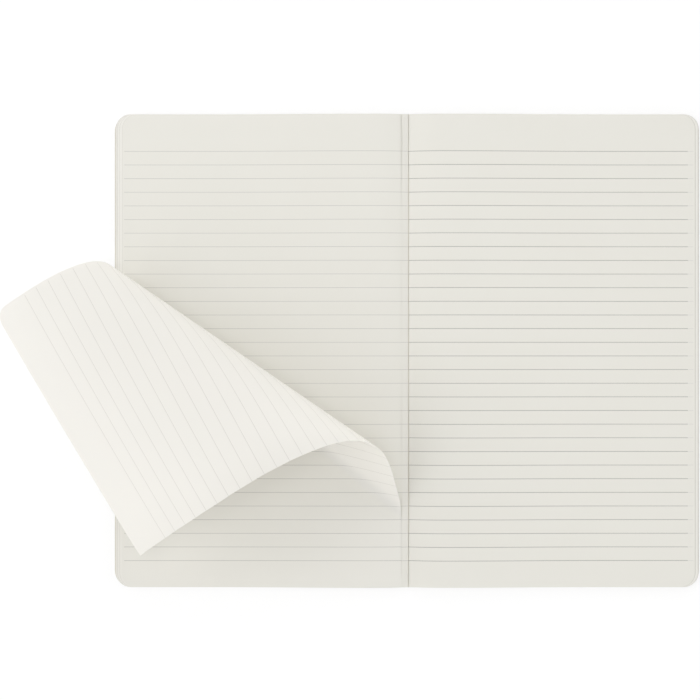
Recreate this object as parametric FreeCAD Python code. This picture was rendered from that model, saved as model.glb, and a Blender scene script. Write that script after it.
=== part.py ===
import FreeCAD, Part
import math
import os

V = FreeCAD.Vector

# Everything is in millimetres, with the notebook open on a table. X runs to the right across the
# spread, Y to the head of the pages and Z up. The origin is under the middle of the spine fold.

# The sheets
page_height = 210.0
left_leaf_width = 127.3
right_leaf_width = 126.7
sheet_thickness = 0.1
leaf_groups = 4
leaves_per_group = 5
left_fan = 2.8
right_fan = 1.9
corner_radius = 6.5

# The card cover
cover_thickness = 0.3
cover_lip = 0.6
cover_corner_radius = 7.2
spine_gap = 0.4
spine_overlap = 0.3

# How the pages rise beside the fold
crown_rise = 1.0
crown_distance = 16.0
crown_fade = 70.0
fold_depth = 1.1
fold_gap = 0.9

# The sewing thread
thread_diameter = 0.5
stitches = 3
stitch_length = 54.0
stitch_middle = -1.0
stitch_dip = 0.55
dip_run = 1.6
thread_rest = 0.05

# The perforated leaf that is torn off along the fold and rolled over
stub_width = 3.3
tear_length = 180.2
torn_slit = 0.25
leaf_thickness = 0.12
leaf_rest = 0.1
leaf_corner_radius = 6.0
# Angle of the straight lines of the roll below the horizontal, as control values from the tear's
# end to the loose corner
roll_angles = (39.2, 27.6, 12.5, 17.2)
# Tightest radius where the sheet lifts at the tear's end, then over the crest, and the lengths of
# torn edge in which each bend comes and goes
lift_radius = 8.4
lift_length = 9.0
crest_radius = 32.5
crest_distance = 37.7
crest_rise_length = 10.4
crest_fall_length = 90.0
roll_step_length = 1.0
roll_spacing = 7.0
lift_spacing = 3.0
lift_zone = 24.0
column_spacing = 14.0
crown_spacing = 6.4
ease_distance = 95.0

stack_thickness = leaf_groups * leaves_per_group * sheet_thickness
edge_top = cover_thickness + stack_thickness
head = page_height / 2
tear_y = head - tear_length

os.makedirs("parts", exist_ok=True)


def page_top(distance):
    """Height of the uppermost page at a distance from the fold: a crown that fades outwards as a
    half cosine and falls to the fold as a parabola."""
    if distance < crown_distance:
        drop = (crown_rise + fold_depth) * (1 - distance / crown_distance) ** 2
        return edge_top + crown_rise - drop
    out = min(1.0, (distance - crown_distance) / crown_fade)
    return edge_top + crown_rise * (0.5 + 0.5 * math.cos(math.pi * out))


def spaced(start, end, spacing):
    """Evenly spaced values from start to end, about one spacing apart."""
    count = max(1, math.ceil(abs(end - start) / spacing - 1e-6))
    return [start + (end - start) * i / count for i in range(count + 1)]


def page_outline(side, inner, outer, radius):
    """Face of one half of the spread in plan: square at the fold, rounded at the fore-edge."""
    a, b, r = side * inner, side * outer, side * radius
    bend = radius * math.sqrt(0.5)
    corner = V(b - r + side * bend, head - radius + bend, 0)
    lower = V(corner.x, -corner.y, 0)
    edges = [
        Part.LineSegment(V(a, head, 0), V(b - r, head, 0)).toShape(),
        Part.Arc(V(b - r, head, 0), corner, V(b, head - radius, 0)).toShape(),
        Part.LineSegment(V(b, head - radius, 0), V(b, radius - head, 0)).toShape(),
        Part.Arc(V(b, radius - head, 0), lower, V(b - r, -head, 0)).toShape(),
        Part.LineSegment(V(b - r, -head, 0), V(a, -head, 0)).toShape(),
        Part.LineSegment(V(a, -head, 0), V(a, head, 0)).toShape(),
    ]
    return Part.Face(Part.Wire(edges))


def plate(side, inner, outer, radius, bottom, top):
    """Flat plate of that outline between two heights."""
    face = page_outline(side, inner, outer, radius)
    face.translate(V(0, 0, bottom))
    return face.extrude(V(0, 0, top - bottom))


def page_block(side, width, fan):
    """One half of the pages: groups of leaves that step out towards the cover, under a crowned top."""
    inner, far, floor = fold_gap / 2, crown_distance + crown_fade, cover_thickness
    top = edge_top + crown_rise
    bend = V(side * (crown_distance + inner) / 2, -head, top)
    valley = Part.BezierCurve()
    valley.setPoles([V(side * inner, -head, page_top(inner)), bend, V(side * crown_distance, -head, top)])
    fade = Part.BSplineCurve()
    level = V(side, 0, 0)
    fade.interpolate(Points=[V(side * u, -head, page_top(u)) for u in spaced(crown_distance, far, crown_fade / 7)],
                     InitialTangent=level, FinalTangent=level)
    corners = [(far, edge_top), (width, edge_top), (width, floor), (inner, floor), (inner, page_top(inner))]
    corners = [V(side * u, -head, z) for u, z in corners]
    edges = [valley.toShape(), fade.toShape()]
    edges += [Part.LineSegment(a, b).toShape() for a, b in zip(corners, corners[1:])]
    block = Part.Face(Part.Wire(edges)).extrude(V(0, page_height, 0))
    block = block.common(plate(side, inner, width, corner_radius, floor, edge_top + crown_rise + 1))
    step = stack_thickness / leaf_groups
    for i in range(leaf_groups - 1):
        reach = width + fan * (leaf_groups - 1 - i) / (leaf_groups - 1)
        block = block.fuse(plate(side, crown_distance, reach, corner_radius, floor, floor + step * (i + 1)))
    return block.removeSplitter()


def cover(side, inner, reach):
    """One half of the folded card cover."""
    return plate(side, inner, reach, cover_corner_radius, 0, cover_thickness)


def sewing_thread():
    """Long stitches that lie in the fold and dip between the sheets at each needle hole."""
    lying = page_top(fold_gap / 2) + thread_rest + thread_diameter / 2
    deep = lying - stitch_dip
    first = stitch_middle - stitches * stitch_length / 2
    route = []
    for i in range(stitches + 1):
        hole = first + i * stitch_length
        if i > 0:
            route.append((hole - dip_run, lying))
        route.append((hole, deep))
        if i < stitches:
            route.append((hole + dip_run, lying))
    points = [V(0, y, z) for y, z in route]
    edges, start = [], points[0]
    for before, here, after in zip(points, points[1:], points[2:]):
        a, b = (before - here), (after - here)
        reach = 0.45 * min(a.Length, b.Length)
        a.normalize()
        b.normalize()
        enter, leave = here + a * reach, here + b * reach
        half = math.acos(max(-1.0, min(1.0, -a.dot(b)))) / 2
        radius = reach / math.tan(half)
        towards = (a + b).normalize()
        middle = here + towards * (radius / math.cos(half) - radius)
        edges.append(Part.LineSegment(start, enter).toShape())
        edges.append(Part.Arc(enter, middle, leave).toShape())
        start = leave
    edges.append(Part.LineSegment(start, points[-1]).toShape())
    path = Part.Wire(edges)
    along = points[1] - points[0]
    ring = Part.Wire(Part.Circle(points[0], along, thread_diameter / 2).toShape())
    return path.makePipeShell([ring], True, True)


def roll_angle(run):
    """Angle of the roll's straight line that starts this far along the torn edge: a cubic Bezier."""
    t = min(1.0, max(0.0, run / tear_length))
    weights = ((1 - t) ** 3, 3 * t * (1 - t) ** 2, 3 * t * t * (1 - t), t ** 3)
    return math.radians(sum(w * a for w, a in zip(weights, roll_angles)))


def turn_rate(run):
    """Turn of the sheet about that line: a short bell where it lifts and a long one over the crest."""
    spread = crest_rise_length if run < crest_distance else crest_fall_length
    crest = math.exp(-((run - crest_distance) / spread) ** 2) / crest_radius
    return math.exp(-(run / lift_length) ** 2) / lift_radius + crest


def roll_frames():
    """Points of the torn edge in space, with the direction of the straight line that starts at each
    and the sheet's normal. The sheet bends without stretching: from one line to the next it turns
    about the line by the turn rate, and about its normal by the change of the line's angle."""
    def edge_direction(line, normal, angle):
        across = line.cross(normal)
        return line * math.sin(angle) + across * math.cos(angle)
    runs = spaced(0.0, tear_length, roll_step_length)
    angle = roll_angle(0)
    point = V(-stub_width, tear_y, 0)
    line, normal = V(-math.cos(angle), math.sin(angle), 0), V(0, 0, 1)
    frames = [(0.0, point, line, normal)]
    for before, run in zip(runs, runs[1:]):
        step = run - before
        turn = -(turn_rate(before) + turn_rate(run)) / 2 * step
        swing = roll_angle(before) - roll_angle(run)
        axis = line * turn + normal * swing
        rotation = FreeCAD.Rotation(axis, math.degrees(axis.Length))
        way = edge_direction(line, normal, roll_angle(before))
        line, normal = rotation.multVec(line), rotation.multVec(normal)
        way = (way + edge_direction(line, normal, roll_angle(run))) * 0.5
        point = point + way * step
        frames.append((run, point, line, normal))
    return frames


def line_height(x, run):
    """Where the roll's straight line from this run along the torn edge crosses a column of the sheet."""
    return tear_y + run - (stub_width + x) * math.tan(roll_angle(run))


def row_end(run):
    """Height at the fore-edge of the sheet's row that starts at this run: the roll's own straight
    lines over the lift and the crest, then a parabola that ends as the head edge."""
    edge = -left_leaf_width
    if run <= ease_distance:
        return line_height(edge, run)
    start = line_height(edge, ease_distance)
    slope = line_height(edge, ease_distance + 0.5) - line_height(edge, ease_distance - 0.5)
    past, whole = run - ease_distance, tear_length - ease_distance
    return start + slope * past - (slope * whole - head + start) * (past / whole) ** 2


def leaf_place(frames, x, y):
    """Place and normal in space of a point of the flat sheet."""
    along = -stub_width - x
    lift = V(0, 0, page_top(-x) + leaf_rest)
    if line_height(x, 0.0) >= y - 1e-9:
        return V(x, y, 0) + lift, V(0, 0, 1)
    low, high = 0.0, tear_length
    for _ in range(40):
        middle = (low + high) / 2
        if line_height(x, middle) < y:
            low = middle
        else:
            high = middle
    index = min(len(frames) - 2, int(low / tear_length * (len(frames) - 1)))
    first, second = frames[index], frames[index + 1]
    share = (low - first[0]) / (second[0] - first[0])
    point, line, normal = (a * (1 - share) + b * share for a, b in zip(first[1:], second[1:]))
    line.normalize()
    normal.normalize()
    return point + line * (along / math.cos(roll_angle(low))) + lift, normal


def rounding_tool(radius, depth):
    """What is left outside a quarter circle at the upper left of the origin, as a cutter."""
    over = radius + 2.0
    corner = radius * math.sqrt(0.5)
    edges = [
        Part.Arc(V(0, radius, 0), V(-corner, corner, 0), V(-radius, 0, 0)).toShape(),
        Part.LineSegment(V(-radius, 0, 0), V(-over, 0, 0)).toShape(),
        Part.LineSegment(V(-over, 0, 0), V(-over, over, 0)).toShape(),
        Part.LineSegment(V(-over, over, 0), V(0, over, 0)).toShape(),
        Part.LineSegment(V(0, over, 0), V(0, radius, 0)).toShape(),
    ]
    tool = Part.Face(Part.Wire(edges)).extrude(V(0, 0, 2 * depth))
    tool.translate(V(0, 0, -depth))
    return tool


def torn_leaf():
    """The rolled sheet, its flat foot and the stub strip that stays sewn in the fold, as one."""
    frames = roll_frames()
    columns = spaced(-stub_width, -crown_distance, crown_spacing) + \
        spaced(-crown_distance, -left_leaf_width, column_spacing)[1:]
    runs = spaced(0.0, lift_zone, lift_spacing) + spaced(lift_zone, tear_length, roll_spacing)[1:]
    upper, lower = [], []
    for x in columns:
        share = (-stub_width - x) / (left_leaf_width - stub_width)
        heights = [(tear_y + run) * (1 - share) + row_end(run) * share for run in runs]
        places = [leaf_place(frames, x, y) for y in heights]
        lower.append([point for point, normal in places])
        upper.append([point + normal * leaf_thickness for point, normal in places])
    faces, rims = [], []
    for points in (upper, lower):
        surface = Part.BSplineSurface()
        surface.interpolate(points)
        faces.append(surface.toShape())
        u_first, u_last, v_first, v_last = surface.bounds()
        rims.append([surface.uIso(u_first), surface.uIso(u_last), surface.vIso(v_first), surface.vIso(v_last)])
    sides = [Part.makeRuledSurface(a.toShape(), b.toShape(), 1) for a, b in zip(*rims)]
    foot = min(sides, key=lambda face: abs(face.CenterOfMass.z - edge_top))
    shell = Part.Shell(faces + sides)
    shell.sewShape()
    roll = Part.Solid(shell)
    if roll.Volume < 0:
        roll.reverse()
    flat = foot.extrude(V(0, -page_height, 0))
    flat = flat.common(Part.makeBox(2 * left_leaf_width, page_height, 2 * edge_top, V(-2 * left_leaf_width, -head, 0)))
    flat_corner = rounding_tool(leaf_corner_radius, 5.0)
    flat_corner.rotate(V(0, 0, 0), V(0, 0, 1), 90)
    flat_corner.translate(V(leaf_corner_radius - left_leaf_width, leaf_corner_radius - head, edge_top))
    flat = flat.cut(flat_corner)
    middle = V(leaf_corner_radius - left_leaf_width, head - leaf_corner_radius, 0)
    centre, normal = leaf_place(frames, middle.x, middle.y)
    right = (leaf_place(frames, middle.x + 1, middle.y)[0] - centre).normalize()
    up = normal.cross(right).normalize()
    right = up.cross(normal)
    loose_corner = rounding_tool(leaf_corner_radius, 3.0)
    loose_corner.Placement = FreeCAD.Placement(centre, FreeCAD.Rotation(right, up, normal))
    roll = roll.cut(loose_corner)
    inner = fold_gap / 2
    strip_edges = []
    for raised in (0.0, leaf_thickness):
        curve = Part.BSplineCurve()
        curve.interpolate([V(-u, -head, page_top(u) + leaf_rest + raised)
                           for u in spaced(inner, stub_width, 0.8)])
        strip_edges.append(curve.toShape())
    section = Part.makeRuledSurface(strip_edges[0], strip_edges[1])
    stub = section.extrude(V(0, page_height, 0))
    slit = Part.makeBox(torn_slit, tear_length, edge_top, V(-stub_width, tear_y, cover_thickness))
    return roll.fuse(flat).fuse(stub.cut(slit)).Solids[0]


left_reach = left_leaf_width + left_fan + cover_lip
right_reach = right_leaf_width + right_fan + cover_lip
pieces = {
    "front_cover": cover(-1, spine_overlap + spine_gap, left_reach),
    "left_pages": page_block(-1, left_leaf_width, left_fan),
    "torn_leaf": torn_leaf(),
    "back_cover": cover(1, -spine_overlap, right_reach),
    "right_pages": page_block(1, right_leaf_width, right_fan),
    "sewing_thread": sewing_thread(),
}
for name, shape in pieces.items():
    box = shape.BoundBox
    print(name, shape.isValid(), len(shape.Solids), round(shape.Volume, 1),
          [round(v, 2) for v in (box.XMin, box.YMin, box.ZMin, box.XMax, box.YMax, box.ZMax)])
    shape.exportStep("parts/" + name + ".step")
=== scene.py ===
import math

import bpy
import numpy as np
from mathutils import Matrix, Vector


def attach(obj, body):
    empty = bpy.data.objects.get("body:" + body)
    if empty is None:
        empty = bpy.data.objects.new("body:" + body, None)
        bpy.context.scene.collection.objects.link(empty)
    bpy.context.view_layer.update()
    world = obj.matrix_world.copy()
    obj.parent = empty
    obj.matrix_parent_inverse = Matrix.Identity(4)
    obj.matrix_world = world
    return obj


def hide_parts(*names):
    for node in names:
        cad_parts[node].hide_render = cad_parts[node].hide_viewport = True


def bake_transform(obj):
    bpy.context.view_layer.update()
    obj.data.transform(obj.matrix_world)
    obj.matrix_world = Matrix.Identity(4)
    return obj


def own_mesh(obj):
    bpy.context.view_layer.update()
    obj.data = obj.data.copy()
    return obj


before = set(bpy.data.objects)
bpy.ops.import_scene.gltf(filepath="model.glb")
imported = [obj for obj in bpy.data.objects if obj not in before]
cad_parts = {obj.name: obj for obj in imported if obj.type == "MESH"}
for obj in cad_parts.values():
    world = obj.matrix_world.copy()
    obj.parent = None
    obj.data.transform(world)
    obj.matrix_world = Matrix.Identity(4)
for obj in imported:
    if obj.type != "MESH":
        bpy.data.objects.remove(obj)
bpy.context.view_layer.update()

# The open notebook. Lengths are in millimetres until a mesh is made, then in metres.
# X runs to the right across the spread, Y to the head of the pages and Z up.

metres = 0.001              # metres in a millimetre
page = {
    "height": 210.0,
    "leftWidth": 127.3,
    "rightWidth": 127.45,
    "cornerRadius": 6.5,
    "edgeTop": 2.3,         # height of the uppermost page at the fore-edge
    "crownRise": 1.0,
    "crownDistance": 16.0,
    "crownFade": 70.0,
    "foldDepth": 1.1,
    "creaseDepth": 0.45,    # the sharp crease right at the fold
    "creaseWidth": 0.14,
    "creasePull": 0.7,      # the crease is deeper by this share where the torn leaf pulls at it
    "pullPlace": -50.0,
    "pullReach": 26.0,
    "bow": 0.0022,          # the spread's head and tail bow out by this share over the crown
    "bowDip": 0.5,          # share of the bow that is lost again at the fold
    "bendReach": 3.3,       # half width of what bends as the notebook closes
}
ruling = {
    "first": 88.6,
    "pitch": 6.06,
    "count": 31,
    "width": 0.2,
    "leftEnd": -126.4,
    "rightEnd": 124.0,      # beyond this the right page's lines are fainter
    "rightTrail": 126.5,
}
meshing = {
    # columns at the fold, where the pages curve most, as distances from it
    "foldColumns": (0.09, 0.18, 0.28, 0.42, 0.65, 1.0, 1.5, 2.2, 3.3, 4.5, 6.0, 8.0, 10.5, 13.0, 16.0),
    "lastColumn": 120.0,
    "cornerRows": 9,
    "rowMargin": 0.02,      # no row lies closer to a corner than this
    "sharpAngle": 35.0,     # edges that turn by more degrees than this are shaded as sharp
}
head = page["height"] / 2
lineHeights = ruling["first"] - ruling["pitch"] * np.arange(ruling["count"])


def crownShare(distance, dip):
    # how much of the crown is left at a distance from the fold: 1 - dip * (1 - d / crown)^2 up to
    # the crown, and half a cosine from 1 to 0 beyond it
    inner = 1 - dip * (1 - distance / page["crownDistance"]) ** 2
    out = np.clip((distance - page["crownDistance"]) / page["crownFade"], 0, 1)
    return np.where(distance < page["crownDistance"], inner, 0.5 + 0.5 * np.cos(math.pi * out))


def pageTop(distance):
    # height of the uppermost page: edge top + rise * crown share, where the dip at the fold takes
    # away the rise and the fold's depth
    dip = 1 + page["foldDepth"] / page["crownRise"]
    return page["edgeTop"] + page["crownRise"] * crownShare(distance, dip)


def creased(distance, y):
    # page top less a Gaussian crease at the fold: depth * (1 + pull) * exp(-(distance / width)^2),
    # where the pull is a Gaussian about its place
    pull = page["creasePull"] * np.exp(-((y - page["pullPlace"]) / page["pullReach"]) ** 2)
    crease = page["creaseDepth"] * (1 + pull) * np.exp(-(distance / page["creaseWidth"]) ** 2)
    return pageTop(distance) - crease


def bowed(x, y):
    # the spread bows out at head and tail over its crown: y * (1 + bow * crown share)
    return y * (1 + page["bow"] * crownShare(np.abs(x), page["bowDip"]))


def roundedReach(y, reach, radius):
    # how far a row reaches sideways: reach - (r - sqrt(r^2 - d^2)), d deep into the corner
    depth = np.clip(np.abs(y) - (head - radius), 0, radius)
    return reach - radius + np.sqrt(radius ** 2 - depth ** 2)


def rowHeights(radius, middle):
    # rows from tail to head: evenly turned points round each corner, and the given rows between
    quarter = np.sin(np.linspace(0, math.pi / 2, meshing["cornerRows"]))
    upper = head - radius + radius * quarter
    between = middle[np.abs(middle) < head - radius - meshing["rowMargin"]]
    return np.unique(np.round(np.concatenate((-upper, between, upper)), 4))


def spreadColumns(left, right, spacing, extra=()):
    # columns across both pages: close together at the fold and evenly spaced beyond the crown
    outer = np.arange(page["crownDistance"] + spacing, meshing["lastColumn"], spacing)
    half = np.concatenate((meshing["foldColumns"], outer))
    return np.unique(np.concatenate(([-left, 0.0, right], -half, half, np.array(extra, float))))


def spreadGrid(heights, columns, left, right, radius):
    # points of a sheet with rounded corners: each half of a row is scaled to the row's reach
    y, x = np.meshgrid(heights, columns, indexing="ij")
    leftShare = roundedReach(heights, left, radius)[:, None] / left
    rightShare = roundedReach(heights, right, radius)[:, None] / right
    return x * np.where(x < 0, leftShare, rightShare), y


def gridQuads(rows, columns):
    # faces of a grid of rows by columns, counter-clockwise seen from above
    start = (np.arange(rows - 1)[:, None] * columns + np.arange(columns - 1)).ravel()
    return np.stack((start, start + 1, start + columns + 1, start + columns), 1)


def slab(lower, upper, cells=None, rim=0):
    # a closed thin solid between two grids of points: both faces and the four rims.
    # cells holds the finish number of each grid cell, the same on either face, and rim the rims'
    rows, columns = lower.shape[:2]
    count = rows * columns
    grid = gridQuads(rows, columns)
    index = np.arange(count).reshape(rows, columns)
    rims = []
    for edge in (index[0], index[-1][::-1], index[::-1, 0], index[:, -1]):
        rims.append(np.stack((edge[:-1], edge[1:], edge[1:] + count, edge[:-1] + count), 1))
    quads = np.concatenate([grid + count, grid[:, ::-1]] + rims)
    points = np.concatenate((lower.reshape(-1, 3), upper.reshape(-1, 3)))
    finish = np.full(len(quads), rim, np.int32)
    finish[:2 * len(grid)] = 0 if cells is None else np.tile(cells.ravel(), 2)
    return points, quads, finish


def joined(solids):
    # several closed solids as one set of points, faces and finishes
    points, quads, finish = zip(*solids)
    starts = np.cumsum([0] + [len(part) for part in points[:-1]])
    shifted = [part + start for part, start in zip(quads, starts)]
    return np.concatenate(points), np.concatenate(shifted), np.concatenate(finish)


def makePiece(name, points, quads, finish, finishNames, caps=(), sharpAngle=meshing["sharpAngle"]):
    # a visible piece from points in millimetres, faces and each face's number in the finish names
    mesh = bpy.data.meshes.new(name)
    mesh.from_pydata((points * metres).tolist(), [], quads.tolist() + list(caps))
    for finishName in finishNames:
        mesh.materials.append(materials[finishName])
    mesh.polygons.foreach_set("material_index", finish.astype(np.int32))
    mesh.shade_smooth()
    mesh.set_sharp_from_angle(angle=math.radians(sharpAngle))
    mesh.update()
    return placed(name, mesh)


def placed(name, data):
    # an object that holds the mesh, lamp or camera, put in the scene
    thing = bpy.data.objects.new(name, data)
    bpy.context.scene.collection.objects.link(thing)
    return thing


# Finishes

textures = {
    # scales of the broad clouds and of the fine fibres, the fibres' share of the tone and the depth
    # of their bump in millimetres
    "paper": {"cloud": 30, "fibre": 1400, "share": 0.35, "bump": 0.02, "roughness": 0.86, "sheen": 0.0},
    "leaf": {"cloud": 30, "fibre": 1400, "share": 0.35, "bump": 0.02, "roughness": 0.84, "sheen": 0.0},
    "ink": {"cloud": 60, "fibre": 900, "share": 0.6, "bump": 0.01, "roughness": 0.8, "sheen": 0.0},
    "edgeShadeLines": {"cloud": 60, "fibre": 1800, "share": 0.7, "bump": 0.02, "roughness": 0.9, "sheen": 0.0},
    "card": {"cloud": 22, "fibre": 700, "share": 0.5, "bump": 0.06, "roughness": 0.78, "sheen": 0.0},
    "yarn": {"cloud": 900, "fibre": 5200, "share": 0.5, "bump": 0.03, "roughness": 0.8, "sheen": 0.2},
}
finishes = {
    # the texture and the two tones that it mixes
    "pagePaper": ("paper", (0.80, 0.787, 0.735), (0.775, 0.76, 0.70)),
    # the page paper made lighter as painted light on the lower sheets' shaded ledges
    "blockPaper": ("paper", (0.835, 0.82, 0.77), (0.815, 0.80, 0.75)),
    "leafPaper": ("leaf", (0.90, 0.892, 0.87), (0.885, 0.876, 0.853)),
    "rightInk": ("ink", (0.26, 0.255, 0.24), (0.34, 0.33, 0.31)),
    "leftInk": ("ink", (0.52, 0.51, 0.48), (0.58, 0.57, 0.535)),
    "leafInk": ("ink", (0.66, 0.65, 0.62), (0.71, 0.70, 0.67)),
    "trailInk": ("ink", (0.66, 0.65, 0.62), (0.70, 0.69, 0.66)),
    # the cut edge's own tone, darkened further as painted shade of the steps between the fanned sheets
    "cutEdge": ("edgeShadeLines", (0.62, 0.605, 0.555), (0.69, 0.675, 0.62)),
    "coverCard": ("card", (0.78, 0.755, 0.68), (0.74, 0.71, 0.63)),
    "threadTwist": ("yarn", (0.74, 0.70, 0.62), (0.66, 0.62, 0.54)),
}
fibres = {
    "specular": 0.25,
    "cloudDetail": 3.0,
    "cloudRoughness": 0.55,
    "fibreDetail": 4.0,
    "fibreRoughness": 0.65,
    "bumpStrength": 0.35,
}
thinSheet = {
    "share": 0.32,          # of the light on a face of the risen leaf, the part that goes through
    # colour of the light that goes through, and colour of the sheet where it lies on the page
    "leafPaper": {"passed": (0.99, 0.965, 0.90), "lying": (0.802, 0.788, 0.735)},
    "leafInk": {"passed": (0.88, 0.86, 0.81), "lying": (0.50, 0.49, 0.46)},
}


def newNode(tree, kind, **inputs):
    # a node with the given values in its sockets
    node = tree.nodes.new(kind)
    for name, value in inputs.items():
        node.inputs[name].default_value = value
    return node


def colourMix(tree, first, second):
    # a mix of two colours, whose factor is left to a link
    node = tree.nodes.new("ShaderNodeMix")
    node.data_type = "RGBA"
    node.inputs["A"].default_value = (*first, 1.0)
    node.inputs["B"].default_value = (*second, 1.0)
    return node


def mixedSurface(tree, source, share, first, second):
    # the surface is a mix of two shaders, and its factor is a socket's value times a fixed share
    part = tree.nodes.new("ShaderNodeMath")
    part.operation = "MULTIPLY"
    part.inputs[1].default_value = share
    mix = tree.nodes.new("ShaderNodeMixShader")
    tree.links.new(source, part.inputs[0])
    tree.links.new(part.outputs[0], mix.inputs["Fac"])
    tree.links.new(first, mix.inputs[1])
    tree.links.new(second, mix.inputs[2])
    tree.links.new(mix.outputs["Shader"], tree.nodes["Material Output"].inputs["Surface"])


def fibrous(name, texture, firstTone, secondTone):
    # a matt fibrous finish: colour = mix of two tones by a broad cloud and a fine fibre noise,
    # and the same fibres as a shallow bump
    look = textures[texture]
    material = bpy.data.materials.new(name)
    material.use_nodes = True
    tree = material.node_tree
    shader = tree.nodes["Principled BSDF"]
    shader.inputs["Roughness"].default_value = look["roughness"]
    shader.inputs["Specular IOR Level"].default_value = fibres["specular"]
    shader.inputs["Sheen Weight"].default_value = look["sheen"]
    place = tree.nodes.new("ShaderNodeTexCoord")
    cloud = newNode(tree, "ShaderNodeTexNoise", Scale=look["cloud"],
                    Detail=fibres["cloudDetail"], Roughness=fibres["cloudRoughness"])
    fibre = newNode(tree, "ShaderNodeTexNoise", Scale=look["fibre"],
                    Detail=fibres["fibreDetail"], Roughness=fibres["fibreRoughness"])
    mixed = tree.nodes.new("ShaderNodeMix")
    mixed.inputs["Factor"].default_value = look["share"]
    tone = colourMix(tree, firstTone, secondTone)
    bump = newNode(tree, "ShaderNodeBump", Strength=fibres["bumpStrength"], Distance=look["bump"] * metres)
    link = tree.links.new
    for noise in (cloud, fibre):
        link(place.outputs["Object"], noise.inputs["Vector"])
    link(cloud.outputs["Fac"], mixed.inputs["A"])
    link(fibre.outputs["Fac"], mixed.inputs["B"])
    link(mixed.outputs["Result"], tone.inputs["Factor"])
    link(tone.outputs["Result"], shader.inputs["Base Color"])
    link(fibre.outputs["Fac"], bump.inputs["Height"])
    link(bump.outputs["Normal"], shader.inputs["Normal"])
    return material


def letLightThrough(name):
    # makes a finish that of a thin sheet: where the sheet has risen off the page, each face passes
    # on a share of its light, and where it lies flat it has the look of the page
    tree = materials[name].node_tree
    shader = tree.nodes["Principled BSDF"]
    tone = shader.inputs["Base Color"].links[0].from_socket
    lift = tree.nodes.new("ShaderNodeAttribute")
    lift.attribute_name = "lift"
    body = colourMix(tree, thinSheet[name]["lying"], thinSheet[name]["lying"])
    passed = newNode(tree, "ShaderNodeBsdfTranslucent", Color=(*thinSheet[name]["passed"], 1.0))
    tree.links.new(lift.outputs["Fac"], body.inputs["Factor"])
    tree.links.new(tone, body.inputs["B"])
    tree.links.new(body.outputs["Result"], shader.inputs["Base Color"])
    mixedSurface(tree, lift.outputs["Fac"], thinSheet["share"],
                 shader.outputs["BSDF"], passed.outputs["BSDF"])


materials = {name: fibrous(name, *look) for name, look in finishes.items()}
letLightThrough("leafPaper")
letLightThrough("leafInk")
print("finishes made:", len(materials))


# The sheets, each one folded at the middle and running across both pages

sheets = {
    "count": 20,
    "groupStarts": (0, 1, 2, 4),    # each group of sheets reaches further out at the fore-edge
    "leftSteps": (0.0, 1.2, 2.1, 2.8),
    "rightSteps": (0.0, 0.95, 1.25, 1.4),
    "standBack": 0.22,      # how far the sheets under a group's first one stand back from it
    "leftEdgeShade": 0.12,        # width of the darker line along a sheet's cut edge: its own tone plus painted shade of the step at its edge
    "rightEdgeShade": 0.06,
    "topRightEdgeShade": 0.28,    # the same on the uppermost sheet, wider there as painted shade of the step at its right edge
    "solidShare": 0.86,     # share of each sheet's room that is paper, the rest is air
    "overCover": 0.01,
    "topSpacing": 5.0,      # of the columns beyond the crown
    "lowerSpacing": 16.0,
    "lowerRows": 7,
    "lowerRowReach": 90.0,
    "seed": 7,
    # how much a sheet's left width, right width, corner radius and place along the fold may vary
    "uneven": (0.06, 0.06, 0.12, 0.07),
}
sheetFinishes = ("pagePaper", "rightInk", "leftInk", "cutEdge", "trailInk")
barePaper, rightInk, leftInk, cutEdge, trailInk = range(len(sheetFinishes))


def ruledRows():
    # the lower and upper edge of every ruled line
    half = ruling["width"] / 2
    return np.concatenate((lineHeights - half, lineHeights + half))


def inkedCells(heights, columns, *stretches):
    # the finish number of each grid cell: a stretch (from, to, number) inks the cells between a
    # ruled line's two edges, and 0 is bare paper
    middleY = (heights[:-1] + heights[1:]) / 2
    middleX = (columns[:-1] + columns[1:]) / 2
    near = np.abs(middleY[:, None] - lineHeights[None, :]).min(1) < ruling["width"] / 2
    finish = np.zeros((len(middleY), len(middleX)), np.int32)
    for left, right, number in stretches:
        finish[near[:, None] & ((middleX > left) & (middleX < right))[None, :]] = number
    return finish


def topGrid(left, right, radius, edgeShadeLines):
    # rows and columns of the uppermost sheet, with an edge along each side of every ruled line
    ends = (ruling["leftEnd"], ruling["rightEnd"], ruling["rightTrail"])
    columns = spreadColumns(left, right, sheets["topSpacing"], (*ends, *edgeShadeLines))
    between = (lineHeights[:-1] + lineHeights[1:]) / 2
    heights = rowHeights(radius, np.concatenate((ruledRows(), between)))
    cells = inkedCells(heights, columns, (ruling["leftEnd"], 0, leftInk), (0, ruling["rightEnd"], rightInk),
                       (ruling["rightEnd"], ruling["rightTrail"], trailInk))
    return heights, columns, cells


def lowerGrid(left, right, radius, edgeShadeLines):
    # rows and columns of a sheet of which only the edges show
    columns = spreadColumns(left, right, sheets["lowerSpacing"], edgeShadeLines)
    reach = sheets["lowerRowReach"]
    heights = rowHeights(radius, np.linspace(-reach, reach, sheets["lowerRows"]))
    return heights, columns, np.full((len(heights) - 1, len(columns) - 1), barePaper, np.int32)


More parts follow.
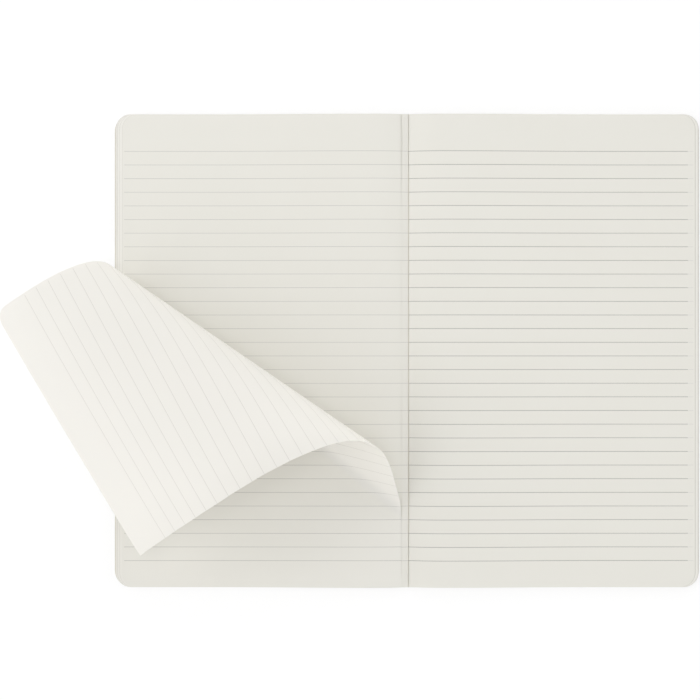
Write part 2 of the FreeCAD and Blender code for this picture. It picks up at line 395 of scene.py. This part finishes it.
def sheetSolid(number, jitter):
    # sheet number 0 lies uppermost. A sheet's height is a share of the way up from the cover to the
    # page top, and its width grows group by group towards the cover
    group = int(np.searchsorted(sheets["groupStarts"], number, side="right")) - 1
    back = 0.0 if number in sheets["groupStarts"] else sheets["standBack"]
    left = page["leftWidth"] + sheets["leftSteps"][group] - back + jitter[0]
    right = page["rightWidth"] + sheets["rightSteps"][group] - back + jitter[1]
    radius = page["cornerRadius"] + jitter[2]
    rightEdgeShade = sheets["topRightEdgeShade"] if number == 0 else sheets["rightEdgeShade"]
    edgeShadeLines = (sheets["leftEdgeShade"] - left, right - rightEdgeShade)
    makeGrid = topGrid if number == 0 else lowerGrid
    heights, columns, cells = makeGrid(left, right, radius, edgeShadeLines)
    # the outermost cells and the rims take the cut edge's tone with painted shade of the steps between
    # sheets
    cells[:, [0, -1]] = cutEdge
    x, y = spreadGrid(heights, columns, left, right, radius)
    y = bowed(x, y + jitter[3])
    top = creased(np.abs(x), y)
    room = (top - cover["thickness"] - sheets["overCover"]) / sheets["count"]
    upperZ = top - room * number
    lowerZ = upperZ - room * sheets["solidShare"]
    return slab(np.stack((x, y, lowerZ), 2), np.stack((x, y, upperZ), 2), cells, cutEdge)


cover = {
    "thickness": 0.3,
    "left": 130.7,
    "right": 129.2,
    "cornerRadius": 7.2,
    "spacing": 9.0,
    "rows": 15,
    "rowReach": 95.0,
}
randomPlaces = np.random.default_rng(sheets["seed"])
jitters = randomPlaces.uniform(-1, 1, (sheets["count"], 4)) * np.array(sheets["uneven"])
jitters[0] = 0
solids = [sheetSolid(number, jitters[number]) for number in range(sheets["count"])]

topSheet = makePiece("top_sheet", *solids[0], sheetFinishes)
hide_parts("left_pages", "right_pages")
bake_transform(topSheet)
# the lower sheets' paper is lightened as painted light on their shaded ledges
lowerSheets = makePiece("lower_sheets", *joined(solids[1:]), ("blockPaper", *sheetFinishes[1:]))
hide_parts("left_pages", "right_pages")
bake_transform(lowerSheets)
print("sheets made:", sheets["count"])


# The card cover, one flat piece across the spine

def coverSolid():
    # a flat plate with rounded corners
    columns = spreadColumns(cover["left"], cover["right"], cover["spacing"])
    middle = np.linspace(-cover["rowReach"], cover["rowReach"], cover["rows"])
    heights = rowHeights(cover["cornerRadius"], middle)
    x, y = spreadGrid(heights, columns, cover["left"], cover["right"], cover["cornerRadius"])
    low, high = np.zeros_like(x), np.full_like(x, cover["thickness"])
    return slab(np.stack((x, y, low), 2), np.stack((x, y, high), 2))


cardCover = makePiece("card_cover", *coverSolid(), ("coverCard",))
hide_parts("front_cover", "back_cover")
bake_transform(cardCover)
print("cover made")


# The torn leaf: a flat sheet bent without stretching, so that it stays straight along the lines
# that start at its torn edge

leaf = {
    "stubWidth": 3.3,
    "tearLength": 180.2,
    "thickness": 0.12,
    "rest": 0.1,            # of the leaf's lower face over the page
    "cornerRadius": 6.0,
    "rollAngles": (39.2, 27.6, 12.5, 17.2),
    "liftRadius": 8.4,
    "liftLength": 9.0,
    "crestRadius": 32.5,
    "crestDistance": 37.7,
    "crestRise": 10.4,
    "crestFall": 90.0,
    "runs": 182,            # straight lines that the roll is worked out at
    "halvings": 40,
    # columns as distances from the torn edge, then evenly spaced ones
    "tearColumns": (0.0, 0.4, 1.2, 2.4, 4.0, 6.0, 8.0, 10.5),
    "evenStart": 16.0,
    "evenEnd": 1.1,         # short of the fore-edge
    "evenCount": 42,
    "pressedHeight": 3.45,
    "pressedShare": 0.006,
}
tear = {
    "toothPitch": 1.25,
    "toothDepth": 0.16,
    "toothRange": (0.4, 1.0),       # a tooth's own share of the depth
    "toothCount": 400,
    "rowsPerTooth": 3,
    "rowEnds": 6.2,         # distance of the first and last of these rows from tail and head
    "wanders": ((0.07, 0.13, 1), (0.04, 0.41, 2)),      # depth, frequency and share of the seed
    "leafSeed": 3,
    "stubSeed": 5,
    "toothFade": 40,        # power by which the teeth fade away from the torn edge
    "opening": 2.0,         # over this length the tear opens
}
tearEnd = head - leaf["tearLength"]


def rollAngle(run):
    # cubic Bezier of the four angles over the torn edge, in radians
    t = np.clip(run / leaf["tearLength"], 0, 1)
    a, b, c, d = leaf["rollAngles"]
    inner = 3 * t * (1 - t) ** 2 * b + 3 * t ** 2 * (1 - t) * c
    return np.radians((1 - t) ** 3 * a + inner + t ** 3 * d)


def turnRate(run):
    # exp(-(run / lift)^2) / lift radius + exp(-((run - crest) / spread)^2) / crest radius
    spread = np.where(run < leaf["crestDistance"], leaf["crestRise"], leaf["crestFall"])
    crest = np.exp(-((run - leaf["crestDistance"]) / spread) ** 2) / leaf["crestRadius"]
    return np.exp(-(run / leaf["liftLength"]) ** 2) / leaf["liftRadius"] + crest


def turned(vector, axis):
    # Rodrigues: v cos a + (k x v) sin a + k (k . v)(1 - cos a), with a the axis' length
    angle = np.linalg.norm(axis)
    k = axis / angle
    along = k * (k @ vector) * (1 - math.cos(angle))
    return vector * math.cos(angle) + np.cross(k, vector) * math.sin(angle) + along


def rollFrames():
    # walks along the torn edge: from one straight line to the next the sheet turns about the line
    # by the turn rate, and about its normal by the change of the line's angle
    runs = np.linspace(0, leaf["tearLength"], leaf["runs"])
    angles, rates = rollAngle(runs), turnRate(runs)
    point = np.array([-leaf["stubWidth"], tearEnd, 0.0])
    line = np.array([-math.cos(angles[0]), math.sin(angles[0]), 0.0])
    normal = np.array([0.0, 0.0, 1.0])
    found = [(point, line, normal)]
    for i in range(1, len(runs)):
        step = runs[i] - runs[i - 1]
        way = line * math.sin(angles[i - 1]) + np.cross(line, normal) * math.cos(angles[i - 1])
        axis = line * (-(rates[i - 1] + rates[i]) / 2 * step) + normal * (angles[i - 1] - angles[i])
        line, normal = turned(line, axis), turned(normal, axis)
        way = way + line * math.sin(angles[i]) + np.cross(line, normal) * math.cos(angles[i])
        point = point + way * step / 2
        found.append((point, line, normal))
    return runs, *(np.array(part) for part in zip(*found))


def leafPlace(x, y):
    # where the flat sheet's point (x, y) goes, and the sheet's normal there: the run of the line
    # through it is found by halving, since the line's height grows with its run. Also how far each
    # point has risen off the page: 0 where the sheet lies flat, 1 from the end of the bend
    runs, points, lines, normals = rollFrames()
    lift = pageTop(-x) + leaf["rest"]
    low, high = np.zeros_like(x), np.full_like(x, leaf["tearLength"])
    for _ in range(leaf["halvings"]):
        middle = (low + high) / 2
        under = tearEnd + middle - (leaf["stubWidth"] + x) * np.tan(rollAngle(middle)) < y
        low, high = np.where(under, middle, low), np.where(under, high, middle)
    flat = y <= tearEnd - (leaf["stubWidth"] + x) * np.tan(rollAngle(0.0))
    point, line, normal = (np.stack([np.interp(low, runs, part[:, i]) for i in range(3)], -1)
                           for part in (points, lines, normals))
    line /= np.linalg.norm(line, axis=-1, keepdims=True)
    normal /= np.linalg.norm(normal, axis=-1, keepdims=True)
    along = (-leaf["stubWidth"] - x) / np.cos(rollAngle(low))
    place = point + line * along[..., None]
    place = np.where(flat[..., None], np.stack((x, y, np.zeros_like(x)), -1), place)
    normal = np.where(flat[..., None], np.array([0.0, 0.0, 1.0]), normal)
    place[..., 2] += lift
    return place, normal, np.clip(low / leaf["liftLength"], 0, 1) * ~flat


def toothRows():
    # rows that follow the teeth of the torn perforation, and the ruled lines' edges
    step = tear["toothPitch"] / tear["rowsPerTooth"]
    last = head - tear["rowEnds"]
    return np.concatenate((np.arange(-last, last, step), ruledRows()))


def toothPhase(y):
    # angle through the row of teeth: a full turn for each tooth
    return y / tear["toothPitch"] * 2 * math.pi


def toothOffset(y, seed):
    # how far the torn edge stands off the perforation at height y: one bump a tooth, uneven in
    # height, on a slow wander
    uneven = np.random.default_rng(seed).uniform(*tear["toothRange"], tear["toothCount"])
    tooth = uneven[np.floor((y + head) / tear["toothPitch"]).astype(int) % tear["toothCount"]]
    wander = sum(depth * np.sin(y * rate + share * seed) for depth, rate, share in tear["wanders"])
    return tear["toothDepth"] * tooth * (0.5 + 0.5 * np.cos(toothPhase(y))) + wander


def tornShare(y):
    # 0 below the tear's end and 1 where the tear is open
    return np.clip((y - tearEnd) / tear["opening"], 0, 1)


def leafSolid():
    # the flat sheet with its rounded corners and teeth, put in its rolled place. Also how far each
    # of the solid's points has risen
    width = page["leftWidth"]
    heights = rowHeights(leaf["cornerRadius"], toothRows())
    inner = -leaf["stubWidth"] - np.array(leaf["tearColumns"])
    outer = np.linspace(-leaf["evenStart"], -width + leaf["evenEnd"], leaf["evenCount"])
    columns = np.unique(np.concatenate((inner, outer, [-width, ruling["leftEnd"]])))
    inked = inkedCells(heights, columns, (ruling["leftEnd"], 0, 1))
    y, x = np.meshgrid(heights, columns, indexing="ij")
    reach = roundedReach(heights, width, leaf["cornerRadius"])[:, None]
    share = (x + leaf["stubWidth"]) / (leaf["stubWidth"] - width)
    x = -leaf["stubWidth"] - share * (reach - leaf["stubWidth"])
    x = x - toothOffset(y, tear["leafSeed"]) * tornShare(y) * (1 - share) ** tear["toothFade"]
    place, normal, risen = leafPlace(x, y)
    return slab(place, place + normal * leaf["thickness"], inked), np.tile(risen.ravel(), 2)


leafMesh, leafRisen = leafSolid()
tornLeaf = makePiece("torn_leaf_rolled", *leafMesh, ("leafPaper", "leafInk"))
lift = tornLeaf.data.attributes.new("lift", "FLOAT", "POINT")
lift.data.foreach_set("value", leafRisen.astype(np.float32))
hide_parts("torn_leaf")
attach(tornLeaf, "left_half")
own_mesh(tornLeaf)
print("leaf rolled")


stub = {
    "columns": (0.0, 0.12, 0.3, 0.5, 0.7, 0.88, 1.0),       # as shares of the way to the fold
    "innerEnd": 0.3,        # distance from the fold
    "cornerRadius": 0.1,
    "slit": 0.38,           # between the stub and the leaf, where it is torn
    "perforation": 0.14,    # width of the slits that are still closed by their ties
    "lift": 0.3,            # at the head, where the tear began
    "settle": 24.0,         # the lift is gone this far below the head
    "innerSink": 0.6,       # shares by which the stub lies lower over the page than the leaf, at
    "tornSink": 0.7,        # its inner end and where it is torn
}


def stubSolid():
    # the narrow strip left in the fold: flush with the leaf below the tear's end, and above it
    # toothed and slightly lifted at its edge
    heights = rowHeights(stub["cornerRadius"], toothRows())
    y, share = np.meshgrid(heights, np.array(stub["columns"]), indexing="ij")
    torn = tornShare(y)
    slits = stub["perforation"] * np.sqrt(0.5 - 0.5 * np.cos(toothPhase(y)))
    opened = torn * (stub["slit"] - toothOffset(y, tear["stubSeed"]))
    edge = leaf["stubWidth"] - opened - (1 - torn) * slits
    distance = edge + (stub["innerEnd"] - edge) * share
    lifted = stub["lift"] * np.exp(-((head - y) / stub["settle"]) ** 2)
    low = leaf["rest"] * (1 - stub["innerSink"] * share) * (1 - stub["tornSink"] * torn)
    z = pageTop(distance) + low + lifted * torn * (1 - share) ** 2
    inked = inkedCells(heights, -distance[0], (-page["leftWidth"], 0, 1))
    y = bowed(distance, y)
    lower = np.stack((-distance, y, z), 2)
    return slab(lower, lower + np.array([0, 0, leaf["thickness"]]), inked)


leafStub = makePiece("leaf_stub", *stubSolid(), ("pagePaper", "leftInk"))
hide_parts("torn_leaf")
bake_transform(leafStub)
print("stub made")


# The sewing thread, a two-ply twist that lies in the crease and dips at each needle hole

thread = {
    "diameter": 0.3,
    "plyDepth": 0.14,       # share of the radius that comes and goes with the two plies
    "holes": (-82.0, -28.0, 26.0, 80.0),
    "endReach": 0.3,        # past the first and last hole
    "lying": 1.0,           # height of its centre line
    "dip": 0.5,
    "dipRun": 1.6,
    "lay": 1.7,             # length of one turn of the twist
    "step": 0.21,
    "sides": 12,
    "sharpAngle": 180.0,
}


def threadSolid():
    # profile carried along the path: radius = r (1 - ply + ply cos 2(a - twist)), height = lying -
    # dip * exp(-(distance to the nearest hole / run)^2)
    first, last = thread["holes"][0] - thread["endReach"], thread["holes"][-1] + thread["endReach"]
    way = np.arange(first, last, thread["step"])
    around = np.linspace(0, 2 * math.pi, thread["sides"], endpoint=False)
    y, angle = np.meshgrid(way, around, indexing="ij")
    nearest = np.abs(y[..., None] - np.array(thread["holes"])).min(-1)
    centre = thread["lying"] - thread["dip"] * np.exp(-(nearest / thread["dipRun"]) ** 2)
    twist = 2 * math.pi * y / thread["lay"]
    ply = thread["plyDepth"]
    radius = thread["diameter"] / 2 * (1 - ply + ply * np.cos(2 * (angle - twist)))
    points = np.stack((radius * np.cos(angle), y, centre + radius * np.sin(angle)), 2)
    rows, columns = y.shape
    index = np.arange(rows * columns).reshape(rows, columns)
    after = np.roll(index, -1, axis=1)
    quads = np.stack((index[:-1], index[1:], after[1:], after[:-1]), 2).reshape(-1, 4)
    caps = [index[0].tolist(), index[-1][::-1].tolist()]
    return points.reshape(-1, 3), quads, np.zeros(len(quads) + len(caps)), caps


threadPoints, threadQuads, threadFinish, threadCaps = threadSolid()
sewing = makePiece("sewn_thread", threadPoints, threadQuads, threadFinish, ("threadTwist",),
                   threadCaps, thread["sharpAngle"])
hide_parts("sewing_thread")
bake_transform(sewing)
print("thread laid")


# Floor, light and camera, in metres

studio = {
    "floorHalf": 2.0,
    "floorHeight": -0.0002,
    "floorShow": 0.64,      # share of the floor's look that is plain white to the camera
    "floorGlow": 1.1,       # strength of that white
    "floorColour": (0.86, 0.86, 0.86, 1),
    "floorRoughness": 0.9,
    "floorSpecular": 0.1,
    "zenith": 0.0,          # strength of the light tent straight above, and at the horizon
    "horizon": 2.0,
    "backdrop": 1.0,        # strength that the camera sees
    "lamps": {              # place, side and power
        "leftSoftbox": ((-0.95, 0.0, 0.75), 0.8, 3.0),
        "headSoftbox": ((0.2, 1.0, 0.8), 0.9, 1.3),
        "topSoftbox": ((-0.1, 0.0, 1.4), 0.6, 4.4),
    },
    "cameraPlace": (-0.02607, 0.00033, 1.2108),
    "sensor": 36.0,
    "frameWidth": 0.31087,  # of what the camera sees at the height of the frame plane
    "framePlane": 0.0028,
}


def makeFloor():
    # a pale matt floor that keeps the notebook's shadow, and looks partly plain white to the camera
    reach, z = studio["floorHalf"], studio["floorHeight"]
    mesh = bpy.data.meshes.new("floor")
    corners = [(-reach, -reach, z), (reach, -reach, z), (reach, reach, z), (-reach, reach, z)]
    mesh.from_pydata(corners, [], [(0, 1, 2, 3)])
    white = bpy.data.materials.new("floorWhite")
    white.use_nodes = True
    tree = white.node_tree
    matt = tree.nodes["Principled BSDF"]
    matt.inputs["Base Color"].default_value = studio["floorColour"]
    matt.inputs["Roughness"].default_value = studio["floorRoughness"]
    matt.inputs["Specular IOR Level"].default_value = studio["floorSpecular"]
    glow = newNode(tree, "ShaderNodeEmission", Strength=studio["floorGlow"])
    seen = tree.nodes.new("ShaderNodeLightPath")
    mixedSurface(tree, seen.outputs["Is Camera Ray"], studio["floorShow"],
                 matt.outputs["BSDF"], glow.outputs["Emission"])
    mesh.materials.append(white)
    return placed("floor", mesh)


def makeTent():
    # a white light tent: its strength runs evenly with the height of the direction, from the
    # horizon's to the zenith's, and the camera sees a plain white backdrop
    world = bpy.data.worlds.new("studio")
    bpy.context.scene.world = world
    world.use_nodes = True
    tree = world.node_tree
    sky = tree.nodes["Background"]
    sky.inputs["Color"].default_value = (1, 1, 1, 1)
    way = tree.nodes.new("ShaderNodeTexCoord")
    parts = tree.nodes.new("ShaderNodeSeparateXYZ")
    tent = tree.nodes.new("ShaderNodeMapRange")
    tent.inputs["To Min"].default_value = studio["horizon"]
    tent.inputs["To Max"].default_value = studio["zenith"]
    seen = tree.nodes.new("ShaderNodeLightPath")
    level = tree.nodes.new("ShaderNodeMix")
    level.inputs["B"].default_value = studio["backdrop"]
    tree.links.new(way.outputs["Generated"], parts.inputs["Vector"])
    tree.links.new(parts.outputs["Z"], tent.inputs["Value"])
    tree.links.new(tent.outputs["Result"], level.inputs["A"])
    tree.links.new(seen.outputs["Is Camera Ray"], level.inputs["Factor"])
    tree.links.new(level.outputs["Result"], sky.inputs["Strength"])


def makeLamp(name, place, side, power):
    # a square softbox turned towards the origin
    lampData = bpy.data.lights.new(name, "AREA")
    lampData.shape = "SQUARE"
    lampData.size = side
    lampData.energy = power
    lamp = placed(name, lampData)
    lamp.location = place
    lamp.rotation_euler = Vector(place).to_track_quat("Z", "Y").to_euler()


def makeCamera():
    # looks straight down: lens = sensor * distance / width of the frame
    cameraData = bpy.data.cameras.new("camera")
    cameraData.sensor_width = studio["sensor"]
    distance = studio["cameraPlace"][2] - studio["framePlane"]
    cameraData.lens = studio["sensor"] * distance / studio["frameWidth"]
    camera = placed("camera", cameraData)
    camera.location = studio["cameraPlace"]
    bpy.context.scene.camera = camera


floor = makeFloor()
makeTent()
for name, (place, side, power) in studio["lamps"].items():
    makeLamp(name, place, side, power)
makeCamera()
bpy.context.scene.view_settings.view_transform = "Standard"
print("studio set")
